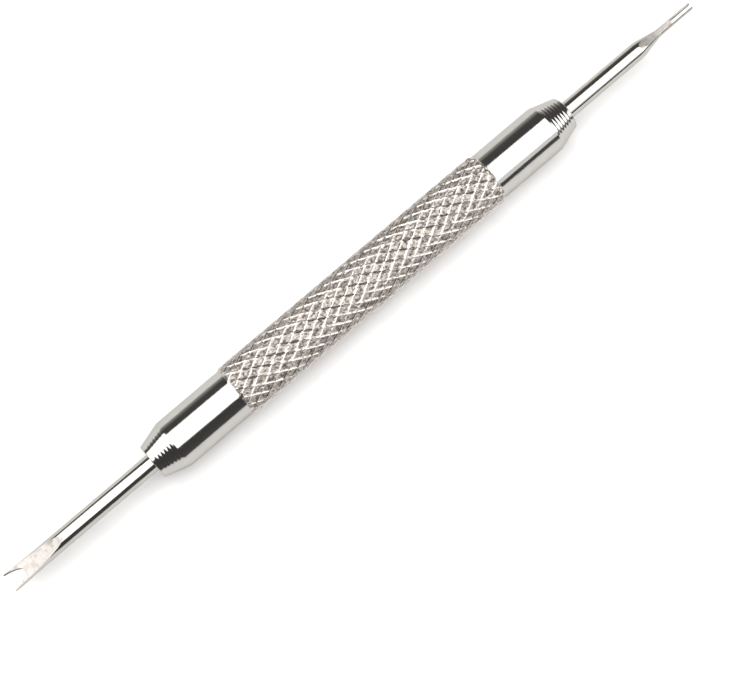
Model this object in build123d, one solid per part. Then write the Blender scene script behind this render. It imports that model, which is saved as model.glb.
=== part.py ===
from build123d import *
import os
from math import cos, pi, radians, sin, tan

# Spring bar tool: a knurled steel handle with a screw-in tip at each end.
# Millimetres. The origin is the middle of the handle, on the tool's axis. +X points along the
# axis to the fine tip, and +Z is square to the flats of both tips.
# Each tip is first made along +X from its nose face, where x is 0, and is then moved into place.

# Whole tool
HANDLE_LENGTH = 46.0
TIP_REACH = 15.0  # from the handle's nose face to the end of either tip

# Handle, outside
SMOOTH_RADIUS = 2.27
KNURL_RADIUS = 2.425
KNURL_LENGTH = 28.2
KNURL_STARTS = 17  # ridges round the handle, in each of the two crossing sets
NOSE_LENGTH = 2.25
NOSE_RADIUS = 1.6
NOSE_ROUNDING = 0.1
RIB_COUNT = 6
RIB_PITCH = 0.32
RIB_DEPTH = 0.04

# Handle, inside each nose: flared mouth, socket for the shaft, seat, tapped hole
RADIAL_GAP = 0.04  # running fit of the shaft and of the threaded shank
SEAT_GAP = 0.02
MOUTH_RADIUS = 1.1
SOCKET_DEPTH = 1.5
HOLE_SPARE_DEPTH = 0.6  # tapped hole beyond the end of the shank
DRILL_HALF_ANGLE = 59.0

# Both tips
SHAFT_RADIUS = 0.8
SHOULDER_BEVEL = 0.05
RELIEF_RADIUS = 0.48
RELIEF_LENGTH = 0.4
THREAD_RADIUS = 0.6
THREAD_LENGTH = 4.0
THREAD_BEVEL = 0.15

# Fork tip
FORK_END_RADIUS = 0.875
FORK_FLARE_LENGTH = 3.2
FORK_THICKNESS = 0.8
FORK_GRIND_LENGTH = 5.6  # from the end of the tip to where the grinding starts
FORK_FLAT_LENGTH = 1.0
NOTCH_DEPTH = 1.6
NOTCH_HALF_WIDTH = 0.8
NOTCH_BOTTOM_RADIUS = 0.42
NOTCH_BOTTOM_SWEEP = 60.0  # degrees of round bottom on each side of the middle

# Fine tip
FINE_TAPER_START = 8.8
FINE_TAPER_END = 11.1
FINE_BLADE_RADIUS = 0.36
FINE_SHOULDER_ROUNDING = 4.0
FINE_ROOT_ROUNDING = 2.5
FINE_THICKNESS = 0.56
FINE_GRIND_LENGTH = 6.3
FINE_FLAT_LENGTH = 3.0
SLOT_WIDTH = 0.31
SLOT_LENGTH = 2.4
PRONG_ROUNDING = 0.06

HALF_HANDLE = HANDLE_LENGTH / 2
SOCKET_RADIUS = SHAFT_RADIUS + RADIAL_GAP
HOLE_RADIUS = THREAD_RADIUS + RADIAL_GAP
HOLE_DEPTH = SOCKET_DEPTH + THREAD_LENGTH + RELIEF_LENGTH + HOLE_SPARE_DEPTH
CLEAR = 1.0  # how far a cutting solid reaches past what it cuts


def turned(*outline):
    """A solid turned about the X axis from the closed outline of its upper half."""
    return revolve(Plane.XZ * make_face(outline), Axis.X)


def handle_outside():
    """Points of the handle's outer outline, from its middle to the edge of the +X nose."""
    knurl_end = KNURL_LENGTH / 2
    bevel = KNURL_RADIUS + CLEAR - SMOOTH_RADIUS
    cone_start = HALF_HANDLE - NOSE_LENGTH
    slope = (SMOOTH_RADIUS - NOSE_RADIUS) / NOSE_LENGTH
    points = [
        (knurl_end - bevel, KNURL_RADIUS + CLEAR),
        (knurl_end, SMOOTH_RADIUS),
        (cone_start, SMOOTH_RADIUS),
    ]
    for rib in range(RIB_COUNT):
        crest = (rib + 0.5) * RIB_PITCH
        groove = crest + RIB_PITCH / 2
        points.append((cone_start + crest, SMOOTH_RADIUS - slope * crest))
        points.append((cone_start + groove, SMOOTH_RADIUS - slope * groove - RIB_DEPTH))
    points.append((HALF_HANDLE, NOSE_RADIUS))
    return points


def handle_inside():
    """Points of the bore's outline, from the mouth in the +X nose inwards to the drill point."""
    mouth_depth = MOUTH_RADIUS - SOCKET_RADIUS
    drill_depth = HOLE_DEPTH + HOLE_RADIUS / tan(radians(DRILL_HALF_ANGLE))
    return [
        (HALF_HANDLE, MOUTH_RADIUS),
        (HALF_HANDLE - mouth_depth, SOCKET_RADIUS),
        (HALF_HANDLE - SOCKET_DEPTH, SOCKET_RADIUS),
        (HALF_HANDLE - SOCKET_DEPTH, HOLE_RADIUS),
        (HALF_HANDLE - HOLE_DEPTH, HOLE_RADIUS),
        (HALF_HANDLE - drill_depth, 0),
    ]


def knurl_crests():
    """A prism round the knurl's crests, with a side for every ridge of both sets."""
    sides = 2 * KNURL_STARTS
    corner_radius = KNURL_RADIUS / cos(pi / sides)
    return extrude(Plane.YZ * RegularPolygon(corner_radius, sides), HALF_HANDLE, both=True)


def make_handle():
    """One turned rod: knurled grip, smooth ends, ribbed noses, and a bore in each nose."""
    right = handle_outside() + handle_inside()
    left = [(-x, radius) for x, radius in reversed(right)]
    rod = turned(Polyline(*right, *left, close=True)) & knurl_crests()
    rims = rod.edges().filter_by(GeomType.CIRCLE)
    rims = rims.filter_by(lambda rim: abs(rim.radius - NOSE_RADIUS) < RADIAL_GAP)
    rims = rims.filter_by(lambda rim: abs(rim.center().X) > HALF_HANDLE - RADIAL_GAP)
    return fillet(rims, NOSE_ROUNDING)


def shank_outline():
    """Points of a tip's hidden end: threaded shank, thread relief, shoulder, start of the shaft."""
    shoulder = SEAT_GAP - SOCKET_DEPTH
    relief_end = shoulder - RELIEF_LENGTH
    shank_end = relief_end - THREAD_LENGTH
    return [
        (shank_end, 0),
        (shank_end, THREAD_RADIUS - THREAD_BEVEL),
        (shank_end + THREAD_BEVEL, THREAD_RADIUS),
        (relief_end, THREAD_RADIUS),
        (relief_end, RELIEF_RADIUS),
        (shoulder, RELIEF_RADIUS),
        (shoulder, SHAFT_RADIUS - SHOULDER_BEVEL),
        (shoulder + SHOULDER_BEVEL, SHAFT_RADIUS),
    ]


def ground_away(grind_length, flat_length, thickness):
    """What a grinding wheel takes off both faces of a tip: a hollow run-in, then a flat."""
    start = TIP_REACH - grind_length
    blend = TIP_REACH - flat_length
    half = thickness / 2
    run_in = TangentArc((blend, half), (start, SHAFT_RADIUS), tangent=(-1, 0))
    rest = Polyline(
        (start, SHAFT_RADIUS),
        (start, SHAFT_RADIUS + CLEAR),
        (TIP_REACH + CLEAR, SHAFT_RADIUS + CLEAR),
        (TIP_REACH + CLEAR, half),
        (blend, half),
    )
    upper = extrude(Plane.XZ * make_face([run_in, rest]), SHAFT_RADIUS + CLEAR, both=True)
    return upper + mirror(upper, Plane.XY)


def fork_notch():
    """The fork's mouth: a round bottom, flanks that bow outwards, and two pointed horns."""
    bottom = TIP_REACH - NOTCH_DEPTH
    sweep = radians(NOTCH_BOTTOM_SWEEP)
    round_end = bottom + NOTCH_BOTTOM_RADIUS * (1 - cos(sweep))
    round_half_width = NOTCH_BOTTOM_RADIUS * sin(sweep)
    round_bottom = ThreePointArc(
        (round_end, -round_half_width), (bottom, 0), (round_end, round_half_width)
    )
    flank = TangentArc(
        (round_end, round_half_width),
        (TIP_REACH, NOTCH_HALF_WIDTH),
        tangent=(sin(sweep), cos(sweep)),
    )
    mouth = Polyline(
        (TIP_REACH, NOTCH_HALF_WIDTH),
        (TIP_REACH + CLEAR, NOTCH_HALF_WIDTH),
        (TIP_REACH + CLEAR, -NOTCH_HALF_WIDTH),
        (TIP_REACH, -NOTCH_HALF_WIDTH),
    )
    outline = make_face([round_bottom, flank, mouth, mirror(flank, Plane.XZ)])
    return extrude(outline, SHAFT_RADIUS + CLEAR, both=True)


def make_fork_tip():
    """Wide fork: the shaft swells a little to the end, is ground flat there and notched."""
    body = turned(
        Polyline(
            *shank_outline(),
            (TIP_REACH - FORK_FLARE_LENGTH, SHAFT_RADIUS),
            (TIP_REACH, FORK_END_RADIUS),
            (TIP_REACH, 0),
            close=True,
        )
    )
    tip = body - ground_away(FORK_GRIND_LENGTH, FORK_FLAT_LENGTH, FORK_THICKNESS) - fork_notch()
    return Pos(-HALF_HANDLE, 0, 0) * Rot(0, 0, 180) * tip


def make_fine_tip():
    """Fine tip: a taper with a rounded shoulder, then a slim blade ground flat and slotted."""
    shank = shank_outline()
    taper = FilletPolyline(
        shank[-1],
        (FINE_TAPER_START, SHAFT_RADIUS),
        (FINE_TAPER_END, FINE_BLADE_RADIUS),
        (TIP_REACH - PRONG_ROUNDING, FINE_BLADE_RADIUS),
        radius=[FINE_SHOULDER_ROUNDING, FINE_ROOT_ROUNDING],
    )
    end = Polyline(
        (TIP_REACH - PRONG_ROUNDING, FINE_BLADE_RADIUS),
        (TIP_REACH, FINE_BLADE_RADIUS - PRONG_ROUNDING),
        (TIP_REACH, 0),
        shank[0],
    )
    body = turned(Polyline(*shank), taper, end)
    slot_start = TIP_REACH - SLOT_LENGTH
    slot_reach = SLOT_LENGTH + CLEAR
    slot = Pos(slot_start + slot_reach / 2, 0, 0) * Box(slot_reach, SLOT_WIDTH, 2 * SHAFT_RADIUS)
    tip = body - ground_away(FINE_GRIND_LENGTH, FINE_FLAT_LENGTH, FINE_THICKNESS) - slot
    return Pos(HALF_HANDLE, 0, 0) * tip


os.makedirs("parts", exist_ok=True)
export_step(make_handle(), "parts/handle.step")
export_step(make_fork_tip(), "parts/fork_tip.step")
export_step(make_fine_tip(), "parts/fine_tip.step")
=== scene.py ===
from math import acos, asin, atan2, cos, pi, radians, sin, sqrt, tan

import bmesh
import bpy
import numpy as np
from mathutils import Matrix, Vector


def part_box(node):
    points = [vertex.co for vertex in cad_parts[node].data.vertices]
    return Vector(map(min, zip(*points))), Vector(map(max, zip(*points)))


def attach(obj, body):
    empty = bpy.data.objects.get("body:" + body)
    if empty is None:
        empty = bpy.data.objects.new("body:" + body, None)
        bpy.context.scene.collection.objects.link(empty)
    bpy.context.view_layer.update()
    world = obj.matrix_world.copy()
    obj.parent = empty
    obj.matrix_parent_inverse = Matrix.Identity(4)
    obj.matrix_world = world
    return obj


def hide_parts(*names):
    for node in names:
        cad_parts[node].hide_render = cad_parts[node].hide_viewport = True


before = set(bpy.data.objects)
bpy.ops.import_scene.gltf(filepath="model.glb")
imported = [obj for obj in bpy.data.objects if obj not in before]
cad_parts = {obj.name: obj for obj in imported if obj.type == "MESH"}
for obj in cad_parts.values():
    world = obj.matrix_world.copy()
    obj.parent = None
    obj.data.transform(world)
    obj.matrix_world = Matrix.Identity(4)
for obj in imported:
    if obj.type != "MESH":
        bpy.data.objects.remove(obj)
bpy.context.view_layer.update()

# The spring bar tool's looks: a knurled handle with a screw-in tip at each end.
# Sizes are in millimetres, and meshes are scaled once, when they are made. Positions along the
# axis come from the CAD nodes' boxes, in the frame that has +X towards the fine tip.
# Each tip is first made along +X from its nose face, where x is 0, and is then moved into place.
MM = 0.001

HALF_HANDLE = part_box("handle")[1].x / MM
CREST_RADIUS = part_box("handle")[1].z / MM
TOOL_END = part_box("fine_tip")[1].x / MM
TIP_REACH = TOOL_END - HALF_HANDLE

# Knurl: two sets of ridges, which wind round the handle in opposite directions
KNURL_HALF_LENGTH = 14.1
KNURL_STARTS = 17  # ridges round the handle, in each set
KNURL_PITCH = 1.49  # along the axis, from one ridge to the next of its set
KNURL_STEPS = 14  # mesh steps from one ridge to the next
KNURL_DEPTH = 0.12
KNURL_RUNOUT = 0.3  # length over which the knurl fades out at each end
RIDGE_SPACING = 0.76  # across the ridges, from one to the next of its set
FIRST_WIDTH = 0.21  # from the crest of a ridge of the first set to its foot
SECOND_WIDTH = 0.165  # the same for the second set
SECOND_HEIGHT = 0.95  # height of the second set's ridges, as a share of the first's
PIT_DOME = 0.05  # how far each diamond between the ridges bulges
PIT_UNEVENNESS = 0.01  # random height of the mesh points in the diamonds
PIT_SEED = 1

# Handle, outside
SMOOTH_RADIUS = 2.27
NOSE_LENGTH = 2.25
NOSE_RADIUS = 1.6
NOSE_ROUNDING = 0.1
RIB_COUNT = 6
RIB_PITCH = 0.32
RIB_DEPTH = 0.013
RIB_STEPS = 6  # mesh steps from one rib to the next

# Handle, inside each nose
MOUTH_RADIUS = 1.1
SOCKET_RADIUS = 0.84
SOCKET_DEPTH = 1.5
HOLE_RADIUS = 0.64
HOLE_DEPTH = 6.5
DRILL_POINT = 0.38

# Both tips
SHAFT_RADIUS = 0.8
SHOULDER = -1.48  # x where the shaft meets the thread relief, inside the nose
SHOULDER_BEVEL = 0.05
RELIEF_RADIUS = 0.48
RELIEF_LENGTH = 0.4
THREAD_RADIUS = 0.6
THREAD_LENGTH = 4.0
THREAD_BEVEL = 0.15
THREAD_PITCH = 0.25
THREAD_DEPTH = 0.14
THREAD_STEPS = 10  # mesh steps in one turn of the thread

# Fork tip
FORK_END_RADIUS = 0.875
FORK_FLARE_LENGTH = 3.2
FORK_THICKNESS = 0.8
FORK_GRIND_LENGTH = 5.6  # from the end of the tip to where the grinding starts
FORK_FLAT_LENGTH = 1.0
NOTCH_DEPTH = 1.6
NOTCH_HALF_WIDTH = 0.8
NOTCH_BOTTOM_RADIUS = 0.42
NOTCH_BOTTOM_SWEEP = 60.0  # degrees of round bottom on each side of the middle

# Fine tip
FINE_TAPER_START = 8.8
FINE_TAPER_END = 11.1
FINE_BLADE_RADIUS = 0.36
FINE_SHOULDER_ROUNDING = 4.0
FINE_ROOT_ROUNDING = 2.5
FINE_THICKNESS = 0.56
FINE_GRIND_LENGTH = 6.3
FINE_FLAT_LENGTH = 3.0
SLOT_WIDTH = 0.31
SLOT_LENGTH = 2.4
PRONG_ROUNDING = 0.06

# Mesh building
TIP_SIDES = 96
ARC_STEPS = 16
HOLD = 0.02  # mesh rows this close to a corner keep it crisp
CLEAR = 1.0  # how far a cutting solid reaches past what it cuts
HANDLE_CREASE = 40.0  # degrees: faces that meet at more than this are shaded apart
TIP_CREASE = 25.0  # the same for the tips

# Colours. Each list is the run that a surface's mottling passes through.
PLATE_COLOURS = [(0.46, 0.45, 0.44), (0.43, 0.425, 0.41)]
# Diamond colours: mostly dark, painted shade in the recesses between the ridges, with random
# mottling
SHADED_PIT_COLOURS = [(0.08, 0.07, 0.065), (0.19, 0.165, 0.155), (0.50, 0.46, 0.42), (0.21, 0.20, 0.19)]
# Ridge colour: lighter than the plate, a painted highlight on the burnished crests
RIDGE_HIGHLIGHT_COLOUR = (0.60, 0.575, 0.545)
SHAFT_COLOURS = [(0.45, 0.44, 0.42), (0.42, 0.41, 0.39)]
GROUND_COLOURS = [(0.28, 0.25, 0.24), (0.45, 0.435, 0.415), (0.35, 0.315, 0.305)]
# Dark colours of the notch and slot walls: painted shade
SHADED_CUT_COLOURS = [(0.12, 0.12, 0.115), (0.16, 0.155, 0.15)]
PAPER_COLOURS = [(0.90, 0.90, 0.90), (0.87, 0.87, 0.875)]
EDGE_TINT = (0.7, 0.7, 0.66, 1)  # tint of the steel's reflections at a glancing angle
KNURL_EDGE_TINT = (1, 1, 1, 1)

# Roughness. Each pair is a range that noise runs over.
PLATE_ROUGHNESS = (0.06, 0.13)
PIT_ROUGHNESS = (0.32, 0.55)
RIDGE_ROUGHNESS = 0.14
SHAFT_ROUGHNESS = (0.07, 0.15)
GROUND_ROUGHNESS = (0.44, 0.54)
PAPER_ROUGHNESS = 0.9
PAPER_GLOSS = 0.1  # strength of the paper's reflections
BURNISH_AND_HIGHLIGHT_POWER = 1.5  # above 1, only the upper part of each ridge is smooth and light: real burnishing with a painted highlight
NOISE_RANGE = (0.3, 0.7)  # nearly all noise lies between these
NOISE_MIDDLE = 0.5

# Floor
FLOOR_RADIUS = 450.0
FLOOR_SIDES = 96
FLOOR_RINGS = 8
COVE_RADIUS = 120.0
COVE_SWEEP = 45.0  # degrees through which the floor's rim turns up
COVE_STEPS = 12

# Lamps
LAMP_COLOUR = (1.0, 0.99, 0.975)
STUDIO_TURN = -41.0  # degrees about Z by which the softbox and the room are turned
LAMPS = [  # name, size, place, angles in degrees about X, Y and Z, power in watts
    ("softbox", (2400.0, 590.0), (-17.0, 54.0, 500.0), (0.0, 0.0, STUDIO_TURN), 11.5),
    ("key", (150.0, 150.0), (0.0, 224.0, 480.0), (0.0, 0.0, 0.0), 0.6),
    ("fill", (200.0, 65.0), (120.0, -104.0, 78.0), (53.0, 0.0, 0.0), 0.05),
]

# Room
ROOM_WALLS = [  # height, from -1 straight down to 1 straight up, and brightness there
    (-0.2, 0.9),
    (0.0, 0.5),
    (0.24, 0.12),
    (0.7, 0.09),
]
ROOM_SLANT = 0.2  # how much lower the room's dark part comes down on the near side
ROOM_COLOUR = (1.0, 0.95, 0.92)

# Camera, with its angles in degrees
CAMERA_AZIMUTH = -41.19
CAMERA_ELEVATION = 78.0
CAMERA_DISTANCE = 138.0
CAMERA_TARGET = (-3.21, -4.19, 0.0)
CAMERA_LENS = 81.0
CAMERA_SENSOR = 36.0
CAMERA_NEAR = 10.0  # nothing closer to the camera than this is seen


# Outlines

def towards(corner, other):
    """The point a little way from a corner towards another, at most a third of the way."""
    length = sqrt((other[0] - corner[0]) ** 2 + (other[1] - corner[1]) ** 2)
    share = min(HOLD / length, 1 / 3)
    return tuple(c + (o - c) * share for c, o in zip(corner, other))


def crisp(corners):
    """The outline's corners, each with a point just before and just after it."""
    points = [corners[0]]
    for before, corner, after in zip(corners, corners[1:], corners[2:]):
        points += [towards(corner, before), corner, towards(corner, after)]
    return points + [corners[-1]]


def arc(centre, radius, start, end, steps=ARC_STEPS):
    """Points on a circular arc from one angle to another, in radians."""
    angles = np.linspace(start, end, steps + 1)
    return [(centre[0] + radius * cos(a), centre[1] + radius * sin(a)) for a in angles]


def rounded_corner(before, corner, after, radius):
    """The arc that rounds an outline's corner, as points from one side to the other."""
    before, corner, after = (Vector(p) for p in (before, corner, after))
    inwards = (before - corner).normalized()
    outwards = (after - corner).normalized()
    half_angle = acos(inwards.dot(outwards)) / 2
    centre = corner + (inwards + outwards).normalized() * radius / sin(half_angle)
    start = corner + inwards * radius / tan(half_angle) - centre
    end = corner + outwards * radius / tan(half_angle) - centre
    first = atan2(start.y, start.x)
    turn = start.angle_signed(end)
    return arc(centre, radius, first, first - turn)


def tangent_arc(start, end, heading):
    """Points on the arc that leaves the start at a heading, in radians, and reaches the end."""
    chord = Vector(end) - Vector(start)
    bend = atan2(chord.y, chord.x) - heading
    radius = chord.length / (2 * sin(bend))
    centre = (start[0] - radius * sin(heading), start[1] + radius * cos(heading))
    return arc(centre, radius, heading - pi / 2, heading - pi / 2 + 2 * bend)


# Meshes

def mesh_object(name, points, faces, material):
    """A smooth-shaded object from points in millimetres and lists of corner numbers."""
    mesh = bpy.data.meshes.new(name)
    mesh.from_pydata((np.asarray(points) * MM).tolist(), [], faces)
    mesh.materials.append(material)
    mesh.shade_smooth()
    obj = bpy.data.objects.new(name, mesh)
    bpy.context.scene.collection.objects.link(obj)
    return obj


def side_faces(x, angle):
    """Triangles between the rows, each square split along the knurl ridge it lies nearest to."""
    rows, sides = x.shape
    row, side = np.meshgrid(np.arange(rows - 1), np.arange(sides), indexing="ij")
    near = row * sides + side
    near_beside = row * sides + (side + 1) % sides
    far = near + sides
    far_beside = near_beside + sides
    middle = (x[:-1] + x[1:]) / 2
    first, second = ridge_distances(middle, angle[:-1] + pi / sides)
    along_second = second < first
    left = [near, np.where(along_second, far_beside, near_beside), far]
    right = [np.where(along_second, near, far), near_beside, far_beside]
    triangles = [np.stack(corners, -1) for corners in (left, right)]
    return np.concatenate(triangles).reshape(-1, 3).tolist()


def end_faces(rows, sides):
    """Triangles that close the first and last rows onto their points on the axis."""
    first_end = rows * sides
    last_end = first_end + 1
    last_row = first_end - sides
    faces = []
    for side in range(sides):
        beside = (side + 1) % sides
        faces.append((first_end, beside, side))
        faces.append((last_end, last_row + side, last_row + beside))
    return faces


def turned_mesh(name, outline, sides, material, relief):
    """A closed mesh turned about X from an outline whose first and last points lie on the axis.
    relief(x, angle) gives the radius to add at each row and side, as an array."""
    rows = np.array(outline[1:-1], float)
    x, angle = np.meshgrid(rows[:, 0], np.arange(sides) * 2 * pi / sides, indexing="ij")
    radius = np.repeat(rows[:, 1:], sides, axis=1) + relief(x, angle)
    points = np.stack([x, radius * np.cos(angle), radius * np.sin(angle)], axis=-1)
    ends = [(outline[0][0], 0, 0), (outline[-1][0], 0, 0)]
    faces = side_faces(x, angle) + end_faces(len(rows), sides)
    return mesh_object(name, np.vstack([points.reshape(-1, 3), ends]), faces, material)


def extruded(name, outline, direction, material):
    """A cutting solid from an outline in the plane of X and the axis that isn't the direction."""
    count = len(outline)
    reach = SHAFT_RADIUS + CLEAR
    points = []
    for level in (-reach, reach):
        for x, across in outline:
            points.append((x, across, level) if direction == "Z" else (x, level, across))
    faces = [list(range(count)), list(range(2 * count - 1, count - 1, -1))]
    for corner in range(count):
        beside = (corner + 1) % count
        faces.append([beside, corner, corner + count, beside + count])
    cutter = mesh_object(name, points, faces, material)
    mesh = bmesh.new()
    mesh.from_mesh(cutter.data)
    bmesh.ops.recalc_face_normals(mesh, faces=mesh.faces)
    mesh.to_mesh(cutter.data)
    mesh.free()
    return cutter


def cut_away(body, cutters):
    """Takes each cutting solid off the body in turn. The cut faces get its material."""
    for cutter in cutters:
        cut = body.modifiers.new(cutter.name, "BOOLEAN")
        cut.object = cutter
        cut.solver = "EXACT"
        cut.material_mode = "TRANSFER"
        depsgraph = bpy.context.evaluated_depsgraph_get()
        mesh = bpy.data.meshes.new_from_object(body.evaluated_get(depsgraph))
        body.modifiers.clear()
        body.data = mesh
        bpy.data.objects.remove(cutter)


def sharpen(obj, angle):
    """Faces that meet at more than the angle, in degrees, are shaded apart."""
    obj.data.set_sharp_from_angle(angle=radians(angle))


# Handle

def smooth_step(value):
    """0 below 0, 1 above 1, and a smooth rise between."""
    value = np.clip(value, 0, 1)
    return value * value * (3 - 2 * value)


def ridge_distances(x, angle):
    """How far a point is from the nearest ridge of each set, as a share of the ridges' spacing."""
    turn = KNURL_STARTS * angle / (2 * pi)
    advance = x / KNURL_PITCH
    lines = np.array([turn + advance, turn - advance])
    return np.abs(lines - np.round(lines))


def ridge_height(x, angle):
    """The ridges' height as a share of the tallest, 0 in the diamonds and past the knurl's ends."""
    first, second = ridge_distances(x, angle) * RIDGE_SPACING
    second_height = SECOND_HEIGHT * (1 - second / SECOND_WIDTH)
    height = np.maximum(1 - first / FIRST_WIDTH, second_height).clip(0)
    inside = (KNURL_HALF_LENGTH + KNURL_RUNOUT - np.abs(x)) / KNURL_RUNOUT
    return height * smooth_step(inside)


def knurl_relief(x, angle):
    """Radius that rolling the knurl adds to the smooth rod."""
    ridge = ridge_height(x, angle)
    inside = smooth_step((KNURL_HALF_LENGTH - np.abs(x)) / KNURL_RUNOUT)
    valley = CREST_RADIUS - KNURL_DEPTH - SMOOTH_RADIUS
    # Both distances are 0.5 in the middle of a diamond, where its dome is highest.
    dome = PIT_DOME * smooth_step(2 * np.minimum(*ridge_distances(x, angle)))
    random = np.random.default_rng(PIT_SEED)
    uneven = random.uniform(-PIT_UNEVENNESS, PIT_UNEVENNESS, x.shape)
    return inside * (valley + (dome + uneven) * (1 - ridge) + ridge * KNURL_DEPTH)


def handle_half():
    """The handle's outline from the end of the knurl's ridges to the bottom of the +X bore."""
    cone_start = HALF_HANDLE - NOSE_LENGTH
    slope = (SMOOTH_RADIUS - NOSE_RADIUS) / NOSE_LENGTH
    outside = [(cone_start - HOLD, SMOOTH_RADIUS), (cone_start, SMOOTH_RADIUS)]
    for step in range(1, RIB_COUNT * RIB_STEPS + 1):
        along = step * RIB_PITCH / RIB_STEPS
        groove = RIB_DEPTH * (1 + cos(2 * pi * along / RIB_PITCH)) / 2
        outside.append((cone_start + along, SMOOTH_RADIUS - slope * along - groove))
    lip = (HALF_HANDLE, NOSE_RADIUS)
    mouth = (HALF_HANDLE, MOUTH_RADIUS)
    outside += rounded_corner(outside[-1], lip, mouth, NOSE_ROUNDING)
    inside = [
        mouth,
        (HALF_HANDLE - MOUTH_RADIUS + SOCKET_RADIUS, SOCKET_RADIUS),
        (HALF_HANDLE - SOCKET_DEPTH, SOCKET_RADIUS),
        (HALF_HANDLE - SOCKET_DEPTH, HOLE_RADIUS),
        (HALF_HANDLE - HOLE_DEPTH, HOLE_RADIUS),
        (HALF_HANDLE - HOLE_DEPTH - DRILL_POINT, 0),
    ]
    return outside + crisp(inside)


def make_handle(plated, knurled):
    """The rod in one mesh, with every knurl ridge and nose rib in its surface."""
    step = KNURL_PITCH / KNURL_STEPS
    last = int((KNURL_HALF_LENGTH + KNURL_RUNOUT) / step) + 1
    knurl = [(row * step, SMOOTH_RADIUS) for row in range(-last, last + 1)]
    half = handle_half()
    mirrored = [(-x, radius) for x, radius in reversed(half)]
    sides = KNURL_STARTS * KNURL_STEPS
    handle = turned_mesh("handle_rod", mirrored + knurl + half, sides, plated, knurl_relief)
    handle.data.materials.append(knurled)
    for face in handle.data.polygons:
        face.material_index = int(abs(face.center.x) < KNURL_HALF_LENGTH * MM)
    points = np.array([vertex.co for vertex in handle.data.vertices]) / MM
    # The ridge mask: where it is high the knurl gets the ridges' painted highlight colour, where it
    # is 0 the diamonds' painted shade
    ridge = ridge_height(points[:, 0], np.arctan2(points[:, 2], points[:, 1])) ** BURNISH_AND_HIGHLIGHT_POWER
    handle.data.attributes.new("ridge", "FLOAT", "POINT").data.foreach_set("value", ridge)
    sharpen(handle, HANDLE_CREASE)
    return handle


# Tips

def shank_outline():
    """A tip's hidden end, from the end of its thread to the start of its shaft."""
    relief_end = SHOULDER - RELIEF_LENGTH
    shank_end = relief_end - THREAD_LENGTH
    steps = int(THREAD_STEPS * (THREAD_LENGTH - THREAD_BEVEL) / THREAD_PITCH)
    thread = np.linspace(shank_end + THREAD_BEVEL, relief_end - HOLD, steps)
    return [
        (shank_end, 0),
        (shank_end, THREAD_RADIUS - THREAD_BEVEL),
        *((x, THREAD_RADIUS) for x in thread),
        (relief_end, RELIEF_RADIUS),
        (SHOULDER, RELIEF_RADIUS),
        (SHOULDER, SHAFT_RADIUS - SHOULDER_BEVEL),
        (SHOULDER + SHOULDER_BEVEL, SHAFT_RADIUS),
        (SHOULDER + SHOULDER_BEVEL + HOLD, SHAFT_RADIUS),
    ]


def thread_relief(x, angle):
    """Radius taken off the shank by a right-hand thread that fades in at its first turn."""
    thread_end = SHOULDER - RELIEF_LENGTH
    start = thread_end - THREAD_LENGTH
    turns = x / THREAD_PITCH - angle / (2 * pi)
    valley = 2 * np.abs(turns - np.round(turns))
    threaded = (x > start + HOLD) & (x < thread_end - HOLD / 2)
    return -THREAD_DEPTH * valley * threaded * smooth_step((x - start) / THREAD_PITCH)


def ground_away(grind_length, flat_length, thickness, material):
    """What a grinding wheel takes off both faces of a tip: a hollow run-in, then a flat."""
    start = TIP_REACH - grind_length
    blend_end = TIP_REACH - flat_length
    half = thickness / 2
    run = blend_end - start
    rise = SHAFT_RADIUS - half
    wheel_radius = (run**2 + rise**2) / (2 * rise)
    sweep = asin(run / wheel_radius)
    run_in = arc((blend_end, half + wheel_radius), wheel_radius, -pi / 2 - sweep, -pi / 2)
    far = TIP_REACH + CLEAR
    high = SHAFT_RADIUS + CLEAR
    upper = run_in + [(far, half), (far, high), (start, high)]
    lower = [(x, -z) for x, z in upper]
    return [extruded("grind", side, "Y", material) for side in (upper, lower)]


def fork_notch(material):
    """The fork's mouth: a round bottom, flanks that bow outwards, and two pointed horns."""
    bottom = TIP_REACH - NOTCH_DEPTH
    sweep = radians(NOTCH_BOTTOM_SWEEP)
    centre = (bottom + NOTCH_BOTTOM_RADIUS, 0)
    right = arc(centre, NOTCH_BOTTOM_RADIUS, pi, pi - sweep)
    flank = tangent_arc(right[-1], (TIP_REACH, NOTCH_HALF_WIDTH), pi / 2 - sweep)
    right += flank[1:] + [(TIP_REACH + CLEAR, NOTCH_HALF_WIDTH)]
    left = [(x, -y) for x, y in reversed(right[1:])]
    return extruded("notch", right + left, "Z", material)


def fine_slot(material):
    """The straight slot that splits the fine blade into two prongs."""
    start = TIP_REACH - SLOT_LENGTH
    end = TIP_REACH + CLEAR
    half = SLOT_WIDTH / 2
    outline = [(start, -half), (end, -half), (end, half), (start, half)]
    return extruded("slot", outline, "Z", material)


def make_fork_tip(polished, ground, cut):
    """Wide fork: the shaft swells a little to the end, is ground flat there and notched."""
    outline = shank_outline() + [
        (TIP_REACH - FORK_FLARE_LENGTH, SHAFT_RADIUS),
        (TIP_REACH, FORK_END_RADIUS),
        (TIP_REACH, 0),
    ]
    tip = turned_mesh("fork_tip_steel", outline, TIP_SIDES, polished, thread_relief)
    grinding = ground_away(FORK_GRIND_LENGTH, FORK_FLAT_LENGTH, FORK_THICKNESS, ground)
    cut_away(tip, [fork_notch(cut)] + grinding)
    tip.data.transform(Matrix.Translation((-HALF_HANDLE * MM, 0, 0)) @ Matrix.Rotation(pi, 4, "Z"))
    sharpen(tip, TIP_CREASE)
    return tip


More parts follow.
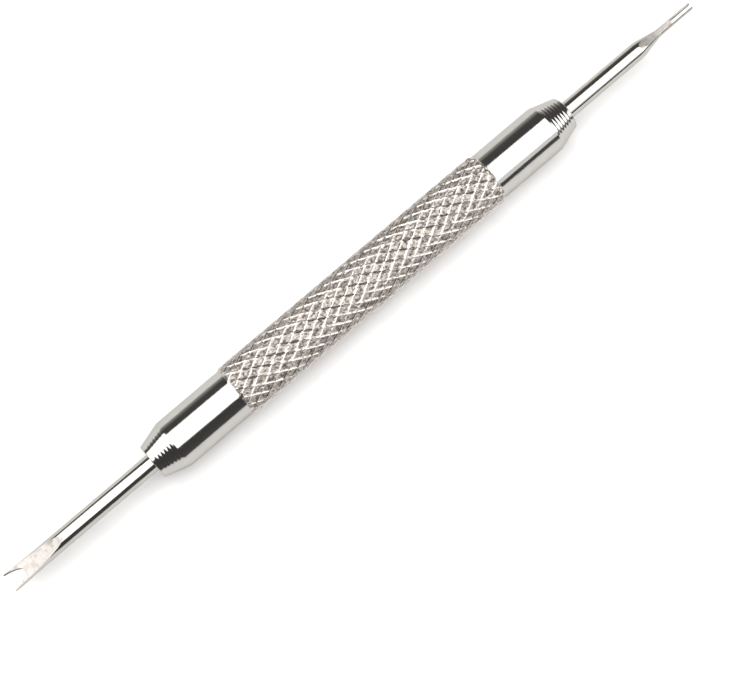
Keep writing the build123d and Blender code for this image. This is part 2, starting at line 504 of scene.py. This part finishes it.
def make_fine_tip(polished, ground, cut):
    """Fine tip: a taper with a rounded shoulder, then a slim blade ground flat and slotted."""
    shaft = (0, SHAFT_RADIUS)
    shoulder = (FINE_TAPER_START, SHAFT_RADIUS)
    root = (FINE_TAPER_END, FINE_BLADE_RADIUS)
    prong = (TIP_REACH - PRONG_ROUNDING, FINE_BLADE_RADIUS)
    outline = (
        shank_outline()
        + rounded_corner(shaft, shoulder, root, FINE_SHOULDER_ROUNDING)
        + rounded_corner(shoulder, root, prong, FINE_ROOT_ROUNDING)
        + [prong, (TIP_REACH, FINE_BLADE_RADIUS - PRONG_ROUNDING), (TIP_REACH, 0)]
    )
    tip = turned_mesh("fine_tip_steel", outline, TIP_SIDES, polished, thread_relief)
    grinding = ground_away(FINE_GRIND_LENGTH, FINE_FLAT_LENGTH, FINE_THICKNESS, ground)
    cut_away(tip, [fine_slot(cut)] + grinding)
    tip.data.transform(Matrix.Translation((HALF_HANDLE * MM, 0, 0)))
    sharpen(tip, TIP_CREASE)
    return tip


# Shader nodes

def new_material(name):
    """A material, with its node tree, its shader and its object coordinates."""
    material = bpy.data.materials.new(name)
    material.use_nodes = True
    tree = material.node_tree
    coordinates = tree.nodes.new("ShaderNodeTexCoord")
    return material, tree, tree.nodes["Principled BSDF"], coordinates.outputs["Object"]


def new_metal(name, edge_tint=EDGE_TINT):
    """The same as new_material gives, with its shader set to metal."""
    material, tree, shader, place = new_material(name)
    shader.inputs["Metallic"].default_value = 1.0
    shader.inputs["Specular Tint"].default_value = edge_tint
    return material, tree, shader, place


def noise(tree, coordinates, per_mm, stretch=(1, 1, 1), detail=3.0):
    """Noise with so many features to the millimetre, stretched by a factor along each axis."""
    mapping = tree.nodes.new("ShaderNodeMapping")
    mapping.inputs["Scale"].default_value = [per_mm / MM / factor for factor in stretch]
    tree.links.new(coordinates, mapping.inputs["Vector"])
    texture = tree.nodes.new("ShaderNodeTexNoise")
    texture.inputs["Scale"].default_value = 1.0
    texture.inputs["Detail"].default_value = detail
    tree.links.new(mapping.outputs["Vector"], texture.inputs["Vector"])
    return texture.outputs["Fac"]


def rescaled(tree, value, source, target):
    """The value, rescaled so that the source range fills the target range."""
    scale = tree.nodes.new("ShaderNodeMapRange")
    scale.inputs["From Min"].default_value = source[0]
    scale.inputs["From Max"].default_value = source[1]
    scale.inputs["To Min"].default_value = target[0]
    scale.inputs["To Max"].default_value = target[1]
    tree.links.new(value, scale.inputs["Value"])
    return scale.outputs["Result"]


def colour_ramp(tree, value, stops):
    """The colour at a value between stops, which are pairs of value, from 0 to 1, and colour."""
    ramp = tree.nodes.new("ShaderNodeValToRGB")
    elements = ramp.color_ramp.elements
    for place, _ in stops[1:-1]:
        elements.new(place)
    for element, (place, colour) in zip(elements, stops):
        element.position = place
        element.color = (*colour, 1)
    tree.links.new(value, ramp.inputs["Fac"])
    return ramp.outputs["Color"]


def tint(tree, value, colours):
    """Noise mapped to a run of evenly spaced colours."""
    places = np.linspace(*NOISE_RANGE, len(colours))
    return colour_ramp(tree, value, list(zip(places, colours)))


def mixed(tree, kind, share, first, second):
    """The first value, giving way to a second, fixed one as the share goes from 0 to 1."""
    mix = tree.nodes.new("ShaderNodeMix")
    mix.data_type = kind
    sockets = [socket for socket in mix.inputs if socket.enabled]
    tree.links.new(share, sockets[0])
    tree.links.new(first, sockets[1])
    sockets[2].default_value = second
    return next(socket for socket in mix.outputs if socket.enabled)


def add_bump(tree, shader, value, height):
    """Fine relief from noise, its height in millimetres, on top of any that the shader has."""
    bump = tree.nodes.new("ShaderNodeBump")
    bump.inputs["Distance"].default_value = height * MM
    tree.links.new(value, bump.inputs["Height"])
    for link in shader.inputs["Normal"].links:
        tree.links.new(link.from_socket, bump.inputs["Normal"])
    tree.links.new(bump.outputs["Normal"], shader.inputs["Normal"])


# Materials

def plated_steel():
    """Bright nickel plate over turned steel, with faint turning lines round the axis."""
    material, tree, shader, place = new_metal("bright_plate")
    clouds = noise(tree, place, per_mm=0.6)
    turning = noise(tree, place, per_mm=12, stretch=(1, 12, 12))
    waves = noise(tree, place, per_mm=1.5)
    roughness = rescaled(tree, turning, NOISE_RANGE, PLATE_ROUGHNESS)
    tree.links.new(tint(tree, clouds, PLATE_COLOURS), shader.inputs["Base Color"])
    tree.links.new(roughness, shader.inputs["Roughness"])
    add_bump(tree, shader, turning, height=0.0012)
    add_bump(tree, shader, waves, height=0.004)
    return material


def knurled_steel():
    """The same plate over the knurl: burnished ridges with a painted highlight, between rough,
    mottled diamonds darkened with painted shade.
    """
    material, tree, shader, place = new_metal("knurled_plate", KNURL_EDGE_TINT)
    clouds = noise(tree, place, per_mm=3.8, detail=4.0)
    grain = noise(tree, place, per_mm=4.5)
    ridge = tree.nodes.new("ShaderNodeAttribute")
    ridge.attribute_name = "ridge"
    share = ridge.outputs["Fac"]
    # Painted shade in the diamonds, painted highlight on the ridges
    pits = tint(tree, clouds, SHADED_PIT_COLOURS)
    pit_roughness = rescaled(tree, grain, NOISE_RANGE, PIT_ROUGHNESS)
    colour = mixed(tree, "RGBA", share, pits, (*RIDGE_HIGHLIGHT_COLOUR, 1))
    roughness = mixed(tree, "FLOAT", share, pit_roughness, RIDGE_ROUGHNESS)
    relief = mixed(tree, "FLOAT", share, grain, NOISE_MIDDLE)
    tree.links.new(colour, shader.inputs["Base Color"])
    tree.links.new(roughness, shader.inputs["Roughness"])
    add_bump(tree, shader, relief, height=0.13)
    return material


def polished_steel():
    """Bright tool steel of the tips' shafts, polished lengthways."""
    material, tree, shader, place = new_metal("shaft_steel")
    clouds = noise(tree, place, per_mm=0.8)
    strokes = noise(tree, place, per_mm=10, stretch=(14, 1, 1))
    waves = noise(tree, place, per_mm=1.2)
    roughness = rescaled(tree, strokes, NOISE_RANGE, SHAFT_ROUGHNESS)
    tree.links.new(tint(tree, clouds, SHAFT_COLOURS), shader.inputs["Base Color"])
    tree.links.new(roughness, shader.inputs["Roughness"])
    add_bump(tree, shader, strokes, height=0.0012)
    add_bump(tree, shader, waves, height=0.003)
    return material


def ground_steel(name, colours):
    """Ground or cut faces of the tips, mottled, with fine marks across the axis; the cut faces'
    dark colours are painted shade.
    """
    material, tree, shader, place = new_metal(name)
    clouds = noise(tree, place, per_mm=1.6, detail=4.0)
    marks = noise(tree, place, per_mm=14, stretch=(1, 10, 10))
    roughness = rescaled(tree, marks, NOISE_RANGE, GROUND_ROUGHNESS)
    tree.links.new(tint(tree, clouds, colours), shader.inputs["Base Color"])
    tree.links.new(roughness, shader.inputs["Roughness"])
    add_bump(tree, shader, marks, height=0.003)
    add_bump(tree, shader, clouds, height=0.01)
    return material


def white_paper():
    """Matt white sheet for the floor, with the faintest grain."""
    material, tree, shader, place = new_material("white_paper")
    shader.inputs["Roughness"].default_value = PAPER_ROUGHNESS
    shader.inputs["Specular IOR Level"].default_value = PAPER_GLOSS
    grain = noise(tree, place, per_mm=0.5)
    tree.links.new(tint(tree, grain, PAPER_COLOURS), shader.inputs["Base Color"])
    return material


# Studio

def make_floor(material):
    """A round white sheet under the tool, whose rim turns up into a low backdrop."""
    flat = [(FLOOR_RADIUS * ring / FLOOR_RINGS, 0) for ring in range(1, FLOOR_RINGS + 1)]
    rim_centre = (FLOOR_RADIUS, COVE_RADIUS)
    rim_end = radians(COVE_SWEEP) - pi / 2
    rim = arc(rim_centre, COVE_RADIUS, -pi / 2, rim_end, COVE_STEPS)[1:]
    points = [(0, 0, -CREST_RADIUS)]
    for radius, height in flat + rim:
        for side in range(FLOOR_SIDES):
            turn = 2 * pi * side / FLOOR_SIDES
            points.append((radius * cos(turn), radius * sin(turn), height - CREST_RADIUS))
    faces = [(0, 1 + side, 1 + (side + 1) % FLOOR_SIDES) for side in range(FLOOR_SIDES)]
    for ring in range(len(flat + rim) - 1):
        first = 1 + ring * FLOOR_SIDES
        for side in range(FLOOR_SIDES):
            here = first + side
            beside = first + (side + 1) % FLOOR_SIDES
            faces.append((here, here + FLOOR_SIDES, beside + FLOOR_SIDES, beside))
    mesh_object("floor", points, faces, material)


def make_lamp(name, size, place, angles, power):
    """A soft rectangular lamp, which faces straight down until it is turned."""
    light = bpy.data.lights.new(name, "AREA")
    light.shape = "RECTANGLE"
    light.size, light.size_y = (side * MM for side in size)
    light.energy = power
    light.color = LAMP_COLOUR
    lamp = bpy.data.objects.new(name, light)
    lamp.location = [distance * MM for distance in place]
    lamp.rotation_euler = [radians(angle) for angle in angles]
    bpy.context.scene.collection.objects.link(lamp)


def make_room():
    """Surroundings that are pale low down on the far side, and dim and warm above."""
    world = bpy.data.worlds.new("room")
    world.use_nodes = True
    tree = world.node_tree
    direction = tree.nodes.new("ShaderNodeTexCoord")
    height = tree.nodes.new("ShaderNodeVectorMath")
    height.operation = "DOT_PRODUCT"
    turn = radians(STUDIO_TURN)
    height.inputs[1].default_value = (ROOM_SLANT * sin(turn), -ROOM_SLANT * cos(turn), 1)
    tree.links.new(direction.outputs["Generated"], height.inputs[0])
    low, high = ROOM_WALLS[0][0], ROOM_WALLS[-1][0]
    stops = []
    for level, strength in ROOM_WALLS:
        colour = [strength * channel for channel in ROOM_COLOUR]
        stops.append(((level - low) / (high - low), colour))
    share = rescaled(tree, height.outputs["Value"], (low, high), (0, 1))
    walls = colour_ramp(tree, share, stops)
    tree.links.new(walls, tree.nodes["Background"].inputs["Color"])
    bpy.context.scene.world = world


def make_camera():
    """The camera, high above the tool and a little off its side."""
    azimuth, elevation = radians(CAMERA_AZIMUTH), radians(CAMERA_ELEVATION)
    back = Vector((sin(azimuth) * cos(elevation), -cos(azimuth) * cos(elevation), sin(elevation)))
    camera = bpy.data.objects.new("camera", bpy.data.cameras.new("camera"))
    camera.data.sensor_width = CAMERA_SENSOR
    camera.data.lens = CAMERA_LENS
    camera.data.clip_start = CAMERA_NEAR * MM
    camera.location = (Vector(CAMERA_TARGET) + back * CAMERA_DISTANCE) * MM
    camera.rotation_euler = back.to_track_quat("Z", "Y").to_euler()
    bpy.context.scene.collection.objects.link(camera)
    bpy.context.scene.camera = camera


def add_piece(piece, node):
    """The piece stands for its CAD node and moves with that node's body."""
    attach(piece, node)
    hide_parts(node)


plated = plated_steel()
knurled = knurled_steel()
polished = polished_steel()
ground = ground_steel("ground_steel", GROUND_COLOURS)
# The notch and slot walls are dark: painted shade
cut = ground_steel("cut_steel_painted_shade", SHADED_CUT_COLOURS)
add_piece(make_handle(plated, knurled), "handle")
add_piece(make_fork_tip(polished, ground, cut), "fork_tip")
add_piece(make_fine_tip(polished, ground, cut), "fine_tip")
make_floor(white_paper())
for lamp in LAMPS:
    make_lamp(*lamp)
make_room()
make_camera()
bpy.context.scene.view_settings.view_transform = "Standard"
